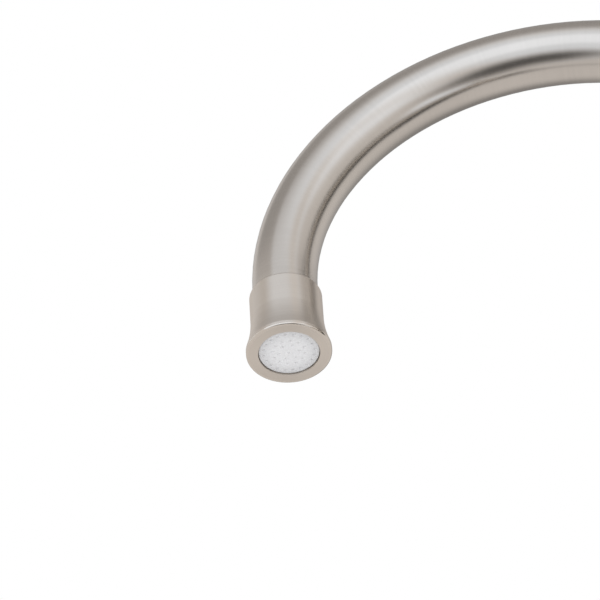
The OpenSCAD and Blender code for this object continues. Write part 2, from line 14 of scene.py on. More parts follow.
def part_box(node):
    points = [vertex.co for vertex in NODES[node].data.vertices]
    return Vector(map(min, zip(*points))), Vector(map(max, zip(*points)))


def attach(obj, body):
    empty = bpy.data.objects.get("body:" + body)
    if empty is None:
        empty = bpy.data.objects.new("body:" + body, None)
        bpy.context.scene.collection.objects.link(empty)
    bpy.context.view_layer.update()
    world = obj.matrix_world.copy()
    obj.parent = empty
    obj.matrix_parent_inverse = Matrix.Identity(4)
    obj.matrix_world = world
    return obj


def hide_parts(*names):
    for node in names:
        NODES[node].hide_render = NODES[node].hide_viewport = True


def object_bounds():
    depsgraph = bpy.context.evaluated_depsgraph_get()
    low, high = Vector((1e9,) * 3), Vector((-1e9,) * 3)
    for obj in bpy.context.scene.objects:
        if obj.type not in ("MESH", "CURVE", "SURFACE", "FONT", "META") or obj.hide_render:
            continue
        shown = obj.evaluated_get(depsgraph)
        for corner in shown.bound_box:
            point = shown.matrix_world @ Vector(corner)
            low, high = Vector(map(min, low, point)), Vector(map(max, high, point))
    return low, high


bl_info = {
    "name": "Hot Water Faucet Dresser",
    "version": (1, 0, 0),
    "blender": (4, 5, 0),
    "location": "View3D > Sidebar > Faucet",
    "description": "Finishes the faucet's metal, rubber, ceramic and plastic, and sets up a studio",
    "category": "Object",
}

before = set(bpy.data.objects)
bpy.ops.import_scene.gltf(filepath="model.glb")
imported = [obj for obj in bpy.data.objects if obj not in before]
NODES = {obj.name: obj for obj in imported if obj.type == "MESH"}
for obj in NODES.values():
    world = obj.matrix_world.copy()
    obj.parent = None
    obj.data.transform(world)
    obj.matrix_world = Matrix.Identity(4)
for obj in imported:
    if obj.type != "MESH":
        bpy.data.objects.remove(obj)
CAD_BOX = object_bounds()
MM = 0.001
TURN = 2 * math.pi
ORIGIN = (0, 0, 0)

# How finely the round shapes are cut
THREAD_STEPS = 96
DISC_STEPS = 96
HOLE_STEPS = 20
EDGE_STEPS = 6
DOME_STEPS = 8
BUTTON_STEPS = 64
FLOOR_STEPS = 128
# Points closer than this become one
WELD = 0.002 * MM

# Shapes that the settings below leave alone
SHANK_WALL = 2.5 * MM
NUT_PLAY = 0.05 * MM
# The nut's round face, as a share of the distance from its middle to a flat
NUT_FACE = 0.985
BUTTON_RISE = 0.35 * MM
# The radius at the floor of a spray hole's mouth, as a share of the mouth's
MOUTH_TAPER = 0.65
# A face of the drilled disc is left out when its middle lies within this share of a hole's radius
HOLE_SHARE = 0.99
# Count, radius and turn in degrees of each ring of spray holes
HOLE_RINGS = ((6, 2.9 * MM, 30), (12, 4.65 * MM, 15), (20, 7.25 * MM, 2))
# The thread's profile: places along its pitch, and 0 at the core or 1 at the crest
THREAD_PROFILE = ((0.0, 0), (0.3, 1), (0.5, 1), (0.8, 0), (1.0, 0))

# Radii at which the brushing marks around a piece have their full length
COLUMN_GRAIN = 15 * MM
FLANGE_GRAIN = 22 * MM
HUB_GRAIN = 13 * MM
LEVER_GRAIN = 4 * MM
# Closer to its axis than this, a grain's turn fades out
GRAIN_CORE = 0.2 * MM
# How far marks and streaks change a brushed piece's roughness, and its tone either way
MARK_ROUGHNESS = 0.05
MARK_TONE = 0.025
# How much of a brushed piece's tone follows its streaks
STREAK_SHARE = 0.55
# The roughness left on a worn edge, as a share
WORN_SHARE = 0.45
# How fast a turned piece's rings change around it
RING_DRIFT = 0.6
# The milky insert's painted shade: where it starts to darken, as a share of its radius, and the
# painted shade at its rim
PAINTED_SHADE_START = 0.45
PAINTED_RIM_SHADE = 0.8
# The range of a noise texture's height that is stretched into a full range
NOISE_LOW, NOISE_HIGH = 0.3, 0.7

# The studio's panels and flags: the range around from +X, the range in height and the soft edges,
# all in degrees, how far the panel leans with height, and the level of light
LIGHT_PANELS = (
    ("panel", (-44, 47), (-68, 47), (8, 24), 0.18, 1.0),
    ("panel", (-43, 38), (-11, 23), (6, 3), 0.0, 1.25),
    ("flag", (20, 41), (-90, 61), (11, 2), 0.18, 0.73),
    ("flag", (-42, 56), (-73, -38), (25, 13), 0.0, 0.08),
    ("panel", (64, 82), (-75, -35), (4, 8), 0.0, 1.1),
    ("flag", (86, 110), (-90, -25), (4, 8), 0.0, 0.0),
    ("flag", (85, 105), (-30, 60), (4, 6), 0.0, 0.0),
    ("flag", (74, 104), (46, 87), (10, 14), 0.0, 0.0),
    ("flag", (146, 200), (-14, 47), (25, 25), 0.0, 0.27),
    ("panel", (-106, -66), (14, 26), (10, 2), 0.0, 1.2),
    ("panel", (26, 49), (-18, 21), (23, 12), 0.0, 1.2),
    ("flag", (-150, -115), (36, 70), (8, 14), 0.0, 0.65),
)
# The height from which the light counts as light from above, and its soft edge, in degrees
TOP_EDGE = (46, 8)
# The long dark gap between the panels below: its two edges, as distances towards -X at a depth of
# 1, their softness, and the height below which it starts with its soft edge, in degrees
FLOOR_GAP = (0.04, 0.16)
GAP_SOFT = 0.02
GAP_HEIGHT = (-50, 12)
# Directions count as at least this far below level where the gap is measured
LEAST_DEPTH = -0.01
# The gap fades between these two northings, down to this share
GAP_FADE = (-0.2, 0.4)
GAP_LEAST = 0.3
# Which way the lamps above and below shine
LAMP_WAY = (-0.35, 0.3, -1)
FILL_WAY = (-0.5, 0.1, 1)
FLOOR_RADIUS = 6.0
FLOOR_TONES = (0.80, 0.82)
CAMERA_CLIP = (0.02, 30)
SENSOR_WIDTH = 36

# What the settings for colours, and for the light's tints, have in common
COLOUR = {"subtype": "COLOR", "size": 3, "min": 0, "max": 1}
TINT = {"subtype": "COLOR", "size": 3, "min": 0, "max": 2}


class FaucetMetalSettings(bpy.types.PropertyGroup):
    """Colours and marks of the metal pieces."""

    nickel: bpy.props.FloatVectorProperty(
        name="Nickel", description="Colour of the satin nickel", default=(0.66, 0.61, 0.55),
        **COLOUR,
    )
    # Painted light: this copy of the satin nickel is painted lighter than the plain nickel, to make
    # up for the light that its rougher, spread brushing loses
    turned_nickel_painted_lighter: bpy.props.FloatVectorProperty(
        name="Turned Nickel", description="Colour of the satin nickel brushed around an axis",
        default=(0.75, 0.68, 0.60), **COLOUR,
    )
    nickel_roughness: bpy.props.FloatProperty(
        name="Nickel Roughness", description="Roughness of the brushed nickel", subtype="FACTOR",
        min=0.05, max=0.8, default=0.22,
    )
    turned_roughness: bpy.props.FloatProperty(
        name="Turned Roughness", description="Roughness of the nickel brushed around an axis",
        subtype="FACTOR", min=0.05, max=0.8, default=0.32,
    )
    spread: bpy.props.FloatProperty(
        name="Spread", description="How much marks around an axis spread reflections along it",
        subtype="FACTOR", min=0, max=1, default=0.9,
    )
    rim_polish: bpy.props.FloatProperty(
        name="Rim Polish", description="How far the outlet's rim is worn smooth from its edge",
        unit="LENGTH", min=0.0002, max=0.003, default=0.9 * MM,
    )
    grain_width: bpy.props.FloatProperty(
        name="Grain Width", description="Distance between the brushing marks", unit="LENGTH",
        min=0.00005, max=0.002, default=0.16 * MM,
    )
    grain_length: bpy.props.FloatProperty(
        name="Grain Length", description="Length of the brushing marks", unit="LENGTH",
        min=0.001, max=0.05, default=7 * MM,
    )
    grain_depth: bpy.props.FloatProperty(
        name="Grain Depth", description="Depth of the brushing marks", unit="LENGTH",
        min=0, max=0.0001, default=0.0005 * MM,
    )
    brass: bpy.props.FloatVectorProperty(
        name="Brass", description="Colour of the turned brass", default=(0.78, 0.58, 0.30),
        **COLOUR,
    )
    copper: bpy.props.FloatVectorProperty(
        name="Copper", description="Colour of the copper tubes", default=(0.78, 0.40, 0.25),
        **COLOUR,
    )
    steel: bpy.props.FloatVectorProperty(
        name="Steel", description="Colour of the stainless steel", default=(0.60, 0.60, 0.60),
        **COLOUR,
    )


class FaucetPlasticSettings(bpy.types.PropertyGroup):
    """Colours of the plastic, ceramic and rubber pieces."""

    insert: bpy.props.FloatVectorProperty(
        name="Insert", description="Colour of the spray insert", default=(0.83, 0.83, 0.835),
        **COLOUR,
    )
    white: bpy.props.FloatVectorProperty(
        name="White Plastic", description="Colour of the inner plastic pieces",
        default=(0.84, 0.83, 0.79), **COLOUR,
    )
    ceramic: bpy.props.FloatVectorProperty(
        name="Ceramic", description="Colour of the valve's discs", default=(0.86, 0.83, 0.76),
        **COLOUR,
    )
    rubber: bpy.props.FloatVectorProperty(
        name="Rubber", description="Colour of the seals", default=(0.03, 0.03, 0.031), **COLOUR,
    )
    button: bpy.props.FloatVectorProperty(
        name="Index Button", description="Colour of the hot water mark",
        default=(0.55, 0.03, 0.02), **COLOUR,
    )


class FaucetThreadSettings(bpy.types.PropertyGroup):
    """Sizes of the shank's thread and of its nut."""

    pitch: bpy.props.FloatProperty(
        name="Pitch", description="Pitch of the shank's thread", unit="LENGTH",
        min=0.001, max=0.003, default=1.5 * MM,
    )
    depth: bpy.props.FloatProperty(
        name="Depth", description="Depth of the shank's thread", unit="LENGTH",
        min=0.0002, max=0.001, default=0.8 * MM,
    )
    plain_length: bpy.props.FloatProperty(
        name="Plain Length", description="Length of the plain neck below the deck", unit="LENGTH",
        min=0.001, max=0.01, default=3 * MM,
    )
    lead: bpy.props.FloatProperty(
        name="Lead", description="Bevel at the end of the shank", unit="LENGTH",
        min=0.0002, max=0.002, default=0.8 * MM,
    )
    nut_bevel: bpy.props.FloatProperty(
        name="Nut Bevel", description="Slope at which the nut's corners are turned down",
        subtype="ANGLE", min=0.1, max=1.2, default=math.radians(30),
    )


class FaucetInsertSettings(bpy.types.PropertyGroup):
    """Sizes of the spray insert and of its holes."""

    mouth: bpy.props.FloatProperty(
        name="Mouth", description="Radius of a spray hole at the insert's face", unit="LENGTH",
        min=0.0002, max=0.0007, default=0.48 * MM,
    )
    throat: bpy.props.FloatProperty(
        name="Throat", description="Radius of a spray hole behind its mouth", unit="LENGTH",
        min=0.00005, max=0.0005, default=0.09 * MM,
    )
    mouth_depth: bpy.props.FloatProperty(
        name="Mouth Depth", description="Depth of a spray hole's mouth", unit="LENGTH",
        min=0.0001, max=0.001, default=0.18 * MM,
    )
    thickness: bpy.props.FloatProperty(
        name="Thickness", description="Thickness of the insert's face plate", unit="LENGTH",
        min=0.0008, max=0.002, default=1.4 * MM,
    )
    edge: bpy.props.FloatProperty(
        name="Edge", description="Rounding of the insert's face", unit="LENGTH",
        min=0.0001, max=0.0006, default=0.45 * MM,
    )


class FaucetStudioSettings(bpy.types.PropertyGroup):
    """The camera, the light and the floor."""

    camera_place: bpy.props.FloatVectorProperty(
        name="Camera", description="Where the camera stands", subtype="TRANSLATION",
        unit="LENGTH", size=3, default=(0.6866, -0.0702, -0.4951),
    )
    camera_azimuth: bpy.props.FloatProperty(
        name="Azimuth", description="Side from which the camera looks", subtype="ANGLE",
        default=math.radians(97.44),
    )
    camera_elevation: bpy.props.FloatProperty(
        name="Elevation", description="Height from which the camera looks", subtype="ANGLE",
        default=math.radians(-44.698),
    )
    camera_roll: bpy.props.FloatProperty(
        name="Roll", description="Roll of the camera", subtype="ANGLE",
        default=math.radians(-3.908),
    )
    camera_lens: bpy.props.FloatProperty(
        name="Lens", description="Focal length in millimetres", min=20, max=400, default=202.61,
    )
    floor_gap: bpy.props.FloatProperty(
        name="Floor Gap", description="Gap between the faucet's lowest point and the floor",
        unit="LENGTH", min=0, max=1, default=0.5 * MM,
    )
    side_light: bpy.props.FloatProperty(
        name="Side Light", description="Level of the light from the sides and from below",
        min=0, max=2, default=0.69,
    )
    top_light: bpy.props.FloatProperty(
        name="Top Light", description="Level of the light from above", min=0, max=2, default=0.38,
    )
    panel_tint: bpy.props.FloatVectorProperty(
        name="Panel Tint", description="Colour of the panels' light", default=(0.93, 1.0, 1.11),
        **TINT,
    )
    side_tint: bpy.props.FloatVectorProperty(
        name="Side Tint", description="Colour of the light from the sides",
        default=(1.02, 0.995, 0.99), **TINT,
    )
    lamp_strength: bpy.props.FloatProperty(
        name="Lamp Strength", description="Strength of the soft lamp above the faucet",
        min=0, max=10, default=1.0,
    )
    lamp_spread: bpy.props.FloatProperty(
        name="Lamp Spread", description="Width of the lamp above, which softens its shadow",
        subtype="ANGLE", min=0, max=3, default=math.radians(24),
    )
    fill_strength: bpy.props.FloatProperty(
        name="Fill Strength", description="Strength of the soft lamp below the outlet",
        min=0, max=10, default=1.4,
    )
    floor_glow: bpy.props.FloatProperty(
        name="Floor Glow", description="What the floor shows the camera beside the light on it",
        min=0, max=1, default=0.40,
    )


# Meshes


def middle(node):
    """The middle of a CAD node's box."""
    low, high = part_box(node)
    return (low + high) / 2


def new_object(name, mesh, body):
    """An object for a mesh, riding on a CAD body."""
    piece = bpy.data.objects.new(name, mesh)
    bpy.context.scene.collection.objects.link(piece)
    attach(piece, body)
    return piece


def close_mesh(name, work, material, sharp=28):
    """A cleaned mesh with smooth faces and sharp corners."""
    bmesh.ops.remove_doubles(work, verts=work.verts, dist=WELD)
    bmesh.ops.dissolve_degenerate(work, edges=work.edges, dist=WELD)
    bmesh.ops.recalc_face_normals(work, faces=work.faces)
    mesh = bpy.data.meshes.new(name)
    work.to_mesh(mesh)
    work.free()
    mesh.shade_smooth()
    mesh.set_sharp_from_angle(angle=math.radians(sharp))
    mesh.materials.append(material)
    return mesh


def skin(work, rows, closed=True):
    """Faces between rows of points, each row running once around. Returns the rows' vertices."""
    rows = [[work.verts.new(point) for point in row] for row in rows]
    for low, high in zip(rows, rows[1:]):
        for k in range(len(low) if closed else len(low) - 1):
            n = (k + 1) % len(low)
            work.faces.new((low[k], low[n], high[n], high[k]))
    return rows


def round_row(radius, height, steps, x=0.0, y=0.0):
    """A row of points around Z. The radius and the height are numbers or depend on the angle."""
    row = []
    for k in range(steps):
        angle = TURN * k / steps
        r = radius(angle) if callable(radius) else radius
        z = height(angle) if callable(height) else height
        row.append((x + r * math.cos(angle), y + r * math.sin(angle), z))
    return row


def cut_thread(work, low, high, core, crest, pitch):
    """The outside of a screw thread around Z, which runs out at both ends."""
    turns = math.ceil((high - low) / pitch) + 1
    rows = []
    for part, rise in THREAD_PROFILE:
        row = []
        for k in range(turns * THREAD_STEPS + 1):
            angle = TURN * k / THREAD_STEPS
            height = min(high, max(low, low + pitch * (k / THREAD_STEPS + part - 1)))
            fade = min(1.0, (height - low) / pitch, (high - height) / pitch)
            r = core + (crest - core) * rise * fade
            row.append((r * math.cos(angle), r * math.sin(angle), height))
        rows.append(row)
    skin(work, rows, closed=False)


# Material nodes


class Shader:
    """A material whose nodes are added one by one."""

    # A mix node's sockets: its factor, A and B, and its result
    MIX_SOCKETS = {"FLOAT": (0, 2, 3, 0), "RGBA": (0, 6, 7, 2)}

    def __init__(self, name):
        self.material = bpy.data.materials.new(name)
        self.material.use_nodes = True
        self.tree = self.material.node_tree
        self.principled = self.tree.nodes["Principled BSDF"]

    def add(self, kind, settings=None, **inputs):
        """Adds a node, sets its options and feeds its sockets. An input called i2 is socket 2."""
        node = self.tree.nodes.new(kind)
        for name, value in (settings or {}).items():
            setattr(node, name, value)
        for name, value in inputs.items():
            key = int(name[1:]) if name.startswith("i") else name.replace("_", " ")
            self.feed(node.inputs[key], value)
        return node

    def feed(self, socket, value):
        """Feeds a socket with a value or with another node's output."""
        if isinstance(value, bpy.types.NodeSocket):
            self.tree.links.new(value, socket)
        else:
            socket.default_value = value

    def spot(self):
        """The place on the object."""
        return self.add("ShaderNodeTexCoord").outputs["Object"]

    def from_centre(self, centre):
        """The three parts of the way from a centre to the place on the object."""
        way = self.add("ShaderNodeVectorMath", {"operation": "SUBTRACT"}, i0=self.spot(), i1=centre)
        return self.add("ShaderNodeSeparateXYZ", i0=way.outputs[0]).outputs

    def vector(self, x, y, z):
        """A vector made of three numbers."""
        return self.add("ShaderNodeCombineXYZ", i0=x, i1=y, i2=z).outputs[0]

    def math(self, operation, a, b=0.0):
        """A math node's result."""
        return self.add("ShaderNodeMath", {"operation": operation}, i0=a, i1=b).outputs[0]

    def length(self, a, b):
        """The length of two steps at right angles."""
        squares = [self.math("MULTIPLY", step, step) for step in (a, b)]
        return self.math("SQRT", self.math("ADD", *squares))

    def ramp(self, value, low, high, to_low, to_high):
        """A value moved from one range to another, and held inside it."""
        return self.add("ShaderNodeMapRange", {"interpolation_type": "SMOOTHSTEP"},
                        i0=value, i1=low, i2=high, i3=to_low, i4=to_high).outputs[0]

    def noise(self, place, scale=1.0, detail=2.0, roughness=0.5, w=None):
        """A noise texture's height. With w it has four dimensions."""
        more = {} if w is None else {"W": w}
        return self.add("ShaderNodeTexNoise", {"noise_dimensions": "4D" if more else "3D"},
                        Vector=place, Scale=scale, Detail=detail, Roughness=roughness,
                        **more).outputs[0]

    def mix(self, factor, a, b, kind="FLOAT"):
        """A value between two numbers, or between two colours when the kind is RGBA."""
        node = self.add("ShaderNodeMix", {"data_type": kind})
        *sockets, result = self.MIX_SOCKETS[kind]
        for socket, value in zip(sockets, (factor, a, b)):
            self.feed(node.inputs[socket], value)
        return node.outputs[result]

    def tint(self, factor, dark, light):
        """A colour between two colours."""
        return self.mix(factor, (*dark, 1), (*light, 1), "RGBA")

    def bump(self, height, distance):
        """A normal that leans with a height between 0 and 1."""
        return self.add("ShaderNodeBump", Height=height, Distance=distance,
                        Strength=1.0).outputs[0]

    def set(self, **sockets):
        """Sets sockets of the main shader."""
        for name, value in sockets.items():
            self.feed(self.principled.inputs[name.replace("_", " ")], value)
        return self.material


class WorldLight(Shader):
    """The world's light, as a level in each direction. Angles are from +X and from level."""

    def __init__(self, tree):
        self.tree = tree
        direction = self.add("ShaderNodeTexCoord").outputs["Generated"]
        east, self.north, up = self.add("ShaderNodeSeparateXYZ", i0=direction).outputs
        self.across = self.math("DIVIDE", east, self.math("MINIMUM", up, LEAST_DEPTH))
        self.height = self.math("ARCSINE", up)
        self.around = self.math("ARCTAN2", self.north, east)
        behind = self.math("LESS_THAN", self.around, -math.pi / 2)
        self.around_back = self.math("ADD", self.around, self.math("MULTIPLY", behind, TURN))

    def edge(self, value, limit, soft, start, end):
        """A soft step from one level to another where a value passes a limit."""
        return self.ramp(value, limit - soft, limit + soft, start, end)

    def above(self, height, soft):
        """1 above a height."""
        return self.edge(self.height, math.radians(height), math.radians(soft), 0.0, 1.0)

    def below(self, height, soft):
        """1 below a height."""
        return self.edge(self.height, math.radians(height), math.radians(soft), 1.0, 0.0)

    def between(self, value, low, high, soft):
        """1 where a value lies between two limits."""
        return self.math("MULTIPLY", self.edge(value, low, soft, 0.0, 1.0),
                         self.edge(value, high, soft, 1.0, 0.0))

    def strip(self):
        """1 inside the long gap below. It runs along Y, and is strongest towards +Y."""
        fade = self.ramp(self.north, *GAP_FADE, GAP_LEAST, 1.0)
        inside = self.math("MULTIPLY", self.below(*GAP_HEIGHT), fade)
        return self.math("MULTIPLY", inside, self.between(self.across, *FLOOR_GAP, GAP_SOFT))

    def window(self, around, height, soft, lean):
        """1 inside a range of directions, with soft edges. It may lean with height."""
        turn = self.around_back if around[1] > 90 else self.around
        if lean:
            turn = self.math("SUBTRACT", turn, self.math("MULTIPLY", self.height, lean))
        ranges = ((turn, *around, soft[0]), (self.height, *height, soft[1]))
        sides = [self.between(value, *map(math.radians, limits)) for value, *limits in ranges]
        return self.math("MULTIPLY", *sides)


def shade(colour, factor):
    """A colour made darker or lighter."""
    return tuple(min(1.0, channel * factor) for channel in colour)


def grain_around(shader, centre, axis):
    """Places for marks around an axis: along it, outwards, and the two parts of the turn."""
    parts = shader.from_centre(centre)
    order = {"X": (1, 2, 0), "Z": (0, 1, 2)}[axis]
    across, aside, along = (parts[k] for k in order)
    radius = shader.length(across, aside)
    safe = shader.math("MAXIMUM", radius, GRAIN_CORE)
    return along, radius, *(shader.math("DIVIDE", part, safe) for part in (across, aside))


def grain_along_bend(shader, bend_centre, bend_radius, tube_radius):
    """Places for marks around the bent tube: along it, and the two parts of the turn."""
    side, back, height = shader.from_centre(bend_centre)
    above = shader.math("MAXIMUM", height, 0.0)
    below = shader.math("MINIMUM", height, 0.0)
    bend = shader.math("MULTIPLY", shader.math("ARCTAN2", above, back), bend_radius)
    drop = shader.math("MULTIPLY", below, shader.math("SIGN", back))
    along = shader.math("MULTIPLY", shader.math("SUBTRACT", bend, drop), -1.0)
    out = shader.math("SUBTRACT", shader.length(back, above), bend_radius)
    return along, 0.0, *(shader.math("DIVIDE", part, tube_radius) for part in (side, out))


def brushed(shader, places, colour, roughness, radius):
    """Brushed metal: fine marks around the piece, wider streaks, and a faint change of tone."""
    metal = bpy.context.scene.faucet_metal
    along, out, across, aside = places
    fine, turn = 1 / metal.grain_width, radius / metal.grain_length
    place = shader.vector(
        shader.math("MULTIPLY", shader.math("ADD", along, out), fine),
        shader.math("MULTIPLY", shader.math("SUBTRACT", along, out), fine),
        shader.math("MULTIPLY", across, turn),
    )
    wave = shader.math("MULTIPLY", aside, turn)
    marks = shader.noise(place, detail=3.0, roughness=0.6, w=wave)
    streaks = shader.noise(place, scale=0.16, roughness=0.55, w=wave)
    tone = shader.noise(shader.spot(), scale=60.0)
    change = shader.math("ADD", shader.math("MULTIPLY", marks, MARK_ROUGHNESS),
                         shader.math("MULTIPLY", streaks, MARK_ROUGHNESS))
    level = shader.math("ADD", shader.math("MULTIPLY", streaks, STREAK_SHARE),
                        shader.math("MULTIPLY", tone, 1 - STREAK_SHARE))
    return shader.set(
        Base_Color=shader.tint(shader.ramp(level, NOISE_LOW, NOISE_HIGH, 0.0, 1.0),
                               shade(colour, 1 - MARK_TONE), shade(colour, 1 + MARK_TONE)),
        Metallic=1.0,
        Roughness=shader.math("ADD", change, roughness - MARK_ROUGHNESS),
        Normal=shader.bump(marks, metal.grain_depth),
    )


def nickel_around(name, centre, axis, radius, worn=None):
    """Satin nickel brushed around an axis, which spreads its reflections along the axis.

    One edge may be worn smooth: worn gives its radius, its height and how far the wear reaches.
    """
    metal = bpy.context.scene.faucet_metal
    shader = Shader(name)
    places = grain_around(shader, centre, axis)
    # The pieces brushed around an axis take the copy of the nickel that is painted lighter
    brushed(shader, places, metal.turned_nickel_painted_lighter, metal.turned_roughness, radius)
    along, out, across, aside = places
    if worn:
        edge_radius, edge_height, reach = worn
        gaps = [shader.math("ABSOLUTE", shader.math("SUBTRACT", place, edge))
                for place, edge in ((out, edge_radius), (along, edge_height))]
        soft = shader.ramp(shader.math("MAXIMUM", *gaps), reach / 2, reach, WORN_SHARE, 1.0)
        finish = shader.principled.inputs["Roughness"]
        shader.feed(finish, shader.math("MULTIPLY", finish.links[0].from_socket, soft))
    parts = {"X": (1.0, across, aside), "Z": (across, aside, 1.0)}[axis]
    tangent = shader.add(
        "ShaderNodeVectorTransform",
        {"vector_type": "VECTOR", "convert_from": "OBJECT", "convert_to": "WORLD"},
        i0=shader.vector(*parts))
    return shader.set(Anisotropic=metal.spread, Tangent=tangent.outputs[0])


def turned(name, colour, centre, axis, roughness, ridge, depth):
    """Metal cut on a lathe: fine rings around an axis."""
    shader = Shader(name)
    along, out, across, aside = grain_around(shader, centre, axis)
    rings = shader.noise(shader.vector(
        shader.math("MULTIPLY", shader.math("ADD", along, out), 1 / ridge),
        shader.math("MULTIPLY", across, RING_DRIFT),
        shader.math("MULTIPLY", aside, RING_DRIFT),
    ))
    tone = shader.noise(shader.spot(), scale=120.0, detail=3.0)
    return shader.set(
        Base_Color=shader.tint(tone, shade(colour, 0.88), shade(colour, 1.06)),
        Metallic=1.0,
        Roughness=shader.ramp(tone, NOISE_LOW, NOISE_HIGH, roughness - 0.05, roughness + 0.07),
        Normal=shader.bump(rings, depth),
    )


def moulded(name, colour, roughness, grain, depth, **more):
    """A moulded plastic or rubber with a fine skin."""
    shader = Shader(name)
    surface = shader.noise(shader.spot(), scale=grain, detail=4.0, roughness=0.6)
    tone = shader.noise(shader.spot(), scale=90.0, detail=3.0)
    return shader.set(
        Base_Color=shader.tint(tone, shade(colour, 0.93), shade(colour, 1.04)),
        Roughness=shader.ramp(surface, NOISE_LOW, NOISE_HIGH, roughness - 0.05, roughness + 0.05),
        Normal=shader.bump(surface, depth),
        **more,
    )


def milky(name, colour, centre, radius):
    """Milky plastic, which lets some light through, with shade painted on its colour that grows
    darker towards its rim.
    """
    shader = Shader(name)
    out = shader.length(*shader.from_centre(centre)[:2])
    surface = shader.noise(shader.spot(), scale=1400.0, detail=4.0, roughness=0.6)
    tone = shader.ramp(shader.noise(shader.spot(), scale=90.0, detail=3.0),
                       NOISE_LOW, NOISE_HIGH, 0.85, 1.0)
    # Painted shade: the colour darkens from the middle out to the rim, standing in for the shade
    # near the rim
    unshaded = shader.ramp(out, radius * PAINTED_SHADE_START, radius, 1.0, 0.0)
    return shader.set(
        Base_Color=shader.tint(shader.math("MULTIPLY", unshaded, tone), shade(colour, PAINTED_RIM_SHADE),
                               colour),
        Roughness=shader.ramp(surface, NOISE_LOW, NOISE_HIGH, 0.23, 0.33),
        Normal=shader.bump(surface, 0.0015 * MM),
        Subsurface_Weight=0.25,
        Subsurface_Radius=(1.0, 1.0, 1.0),
        Subsurface_Scale=1.5 * MM,
        IOR=1.5,
    )


def finish_nodes(material, *names):
    """Gives CAD nodes their material."""
    for name in names:
        mesh = NODES[name].data
        mesh.materials.clear()
        mesh.materials.append(material)


# Operators


class FaucetOperator(bpy.types.Operator):
    """Shared options of the faucet's operators."""

    bl_options = {"REGISTER", "UNDO"}


class FAUCET_OT_spout(FaucetOperator):
    """Brush the spout's tube and its outlet housing"""

    bl_idname = "faucet.spout"
    bl_label = "Spout"

    def execute(self, context):
        metal = context.scene.faucet_metal
        low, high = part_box("spout_tube")
        tube_radius = high.x
        bend_radius = (high.y - low.y) / 2 - tube_radius
        centre = (0, -bend_radius, high.z - tube_radius - bend_radius)
        shader = Shader("brushed_spout_tube")
        places = grain_along_bend(shader, centre, bend_radius, tube_radius)
        finish_nodes(brushed(shader, places, metal.nickel, metal.nickel_roughness, tube_radius),
                     "spout_tube")
        outlet = middle("outlet_housing")
        foot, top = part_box("outlet_housing")
        finish_nodes(nickel_around("brushed_outlet", (outlet.x, outlet.y, foot.z), "Z",
                                   tube_radius, (top.x, 0.0, metal.rim_polish)), "outlet_housing")
        return {"FINISHED"}


class FAUCET_OT_spray_insert(FaucetOperator):
    """Make the milky insert, a plate with fine spray holes whose mouths open out in its face"""

    bl_idname = "faucet.spray_insert"
    bl_label = "Spray Insert"

    def execute(self, context):
        sizes = context.scene.faucet_insert
        low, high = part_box("spray_insert")
        centre = (low + high) / 2
        radius, face, back = (high.x - low.x) / 2, low.z, low.z + sizes.thickness
        floor = face + sizes.mouth_depth
        places = self.hole_places(centre)
        work = bmesh.new()
        self.drilled_disc(work, centre, radius - sizes.edge, face, sizes.mouth, places)
        self.drilled_disc(work, centre, radius, back, sizes.throat, places)
        for x, y in places:
            skin(work, [round_row(r, z, HOLE_STEPS, x, y) for r, z in (
                (sizes.mouth, face), (sizes.mouth * MOUTH_TAPER, floor),
                (sizes.throat, floor), (sizes.throat, back))])
        rim = []
        for k in range(EDGE_STEPS + 1):
            angle = TURN / 4 * k / EDGE_STEPS
            rim.append((radius - sizes.edge * (1 - math.sin(angle)),
                        face + sizes.edge * (1 - math.cos(angle))))
        rim.append((radius, back))
        skin(work, [round_row(r, z, DISC_STEPS, centre.x, centre.y) for r, z in rim])
        material = milky("milky_insert", context.scene.faucet_plastic.insert, centre, radius)
        mesh = close_mesh("drilled_insert", work, material)
        piece = new_object("drilled_insert", mesh, "spout")
        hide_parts("spray_insert")
        return {"FINISHED"}

    def hole_places(self, centre):
        """Where the spray holes are: one in the middle and three rings."""
        places = [(centre.x, centre.y)]
        for count, ring, turn in HOLE_RINGS:
            for k in range(count):
                angle = TURN * k / count + math.radians(turn)
                places.append((centre.x + ring * math.cos(angle),
                               centre.y + ring * math.sin(angle)))
        return places

    def drilled_disc(self, work, centre, radius, level, hole, places):
        """A flat disc with a round opening at each spray hole."""
        points, edges = [], []
        loops = [(radius, DISC_STEPS, centre.x, centre.y)]
        loops += [(hole, HOLE_STEPS, x, y) for x, y in places]
        for r, steps, x, y in loops:
            first = len(points)
            points += [Vector(point[:2]) for point in round_row(r, 0, steps, x, y)]
            edges += [(first + k, first + (k + 1) % steps) for k in range(steps)]
        inside_only, same_point = 1, 1e-9
        flat = delaunay_2d_cdt(points, edges, [], inside_only, same_point)
        verts = [work.verts.new((v.x, v.y, level)) for v in flat[0]]
        for face in flat[2]:
            spot = sum((flat[0][k] for k in face), Vector((0, 0))) / len(face)
            if all((spot - Vector(place)).length > hole * HOLE_SHARE for place in places):
                work.faces.new([verts[k] for k in face])


class FAUCET_OT_outlet_parts(FaucetOperator):
    """Finish the flow cartridge, its screen and straightener, and the spout's glide rings"""

    bl_idname = "faucet.outlet_parts"
    bl_label = "Outlet Parts"

    def execute(self, context):
        white = moulded("white_plastic", context.scene.faucet_plastic.white, roughness=0.42,
                        grain=1800.0, depth=0.003 * MM)
        finish_nodes(white, "flow_cartridge", "flow_straightener", "glide_rings")
        steel = turned("rolled_screen", context.scene.faucet_metal.steel, middle("inlet_screen"),
                       "Z", roughness=0.3, ridge=0.3 * MM, depth=0.001 * MM)
        finish_nodes(steel, "inlet_screen")
        return {"FINISHED"}


class FAUCET_OT_column(FaucetOperator):
    """Brush the column, its spout nut and its base flange"""

    bl_idname = "faucet.column"
    bl_label = "Column"

    def execute(self, context):
        finish_nodes(nickel_around("brushed_column", ORIGIN, "Z", COLUMN_GRAIN),
                     "faucet_body", "spout_nut")
        finish_nodes(nickel_around("brushed_flange", ORIGIN, "Z", FLANGE_GRAIN), "base_flange")
        return {"FINISHED"}


